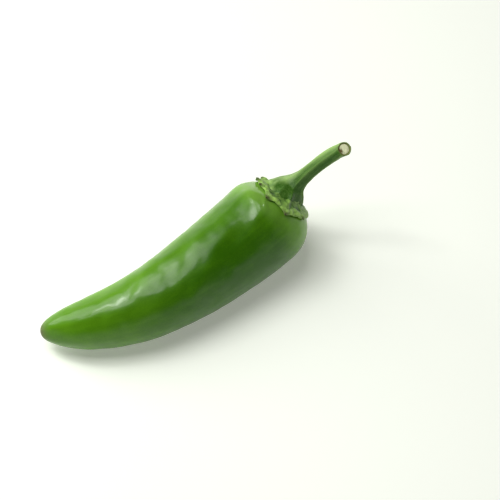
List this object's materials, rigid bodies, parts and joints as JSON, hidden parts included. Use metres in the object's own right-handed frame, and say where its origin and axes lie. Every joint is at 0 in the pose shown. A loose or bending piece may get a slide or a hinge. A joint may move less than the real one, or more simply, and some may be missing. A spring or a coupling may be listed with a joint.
{
  "type": "chilli pepper",
  "caption": "Slightly bent, pointed green chilli pepper with a glossy pod, a toothed calyx and a curved ribbed stem with a cut end.",
  "frame": {"origin": "middle of the flat spot that the pod rests on, under the centre of mass", "axes": "-Z down into the surface it lies on, +X along the pod from the tip to the stem"},
  "size_m": [0.0997, 0.0312, 0.0404],
  "materials": {
    "pod_skin": "smooth waxy skin, glossy, dark green",
    "calyx": "satin plant tissue, light green, with brown tooth tips",
    "stem": "satin ribbed stalk, green, with a pale cut end"
  },
  "bodies": {
    "root": {"pod": "pod_skin", "calyx": "calyx", "stem": "stem"}
  },
  "joints": []
}
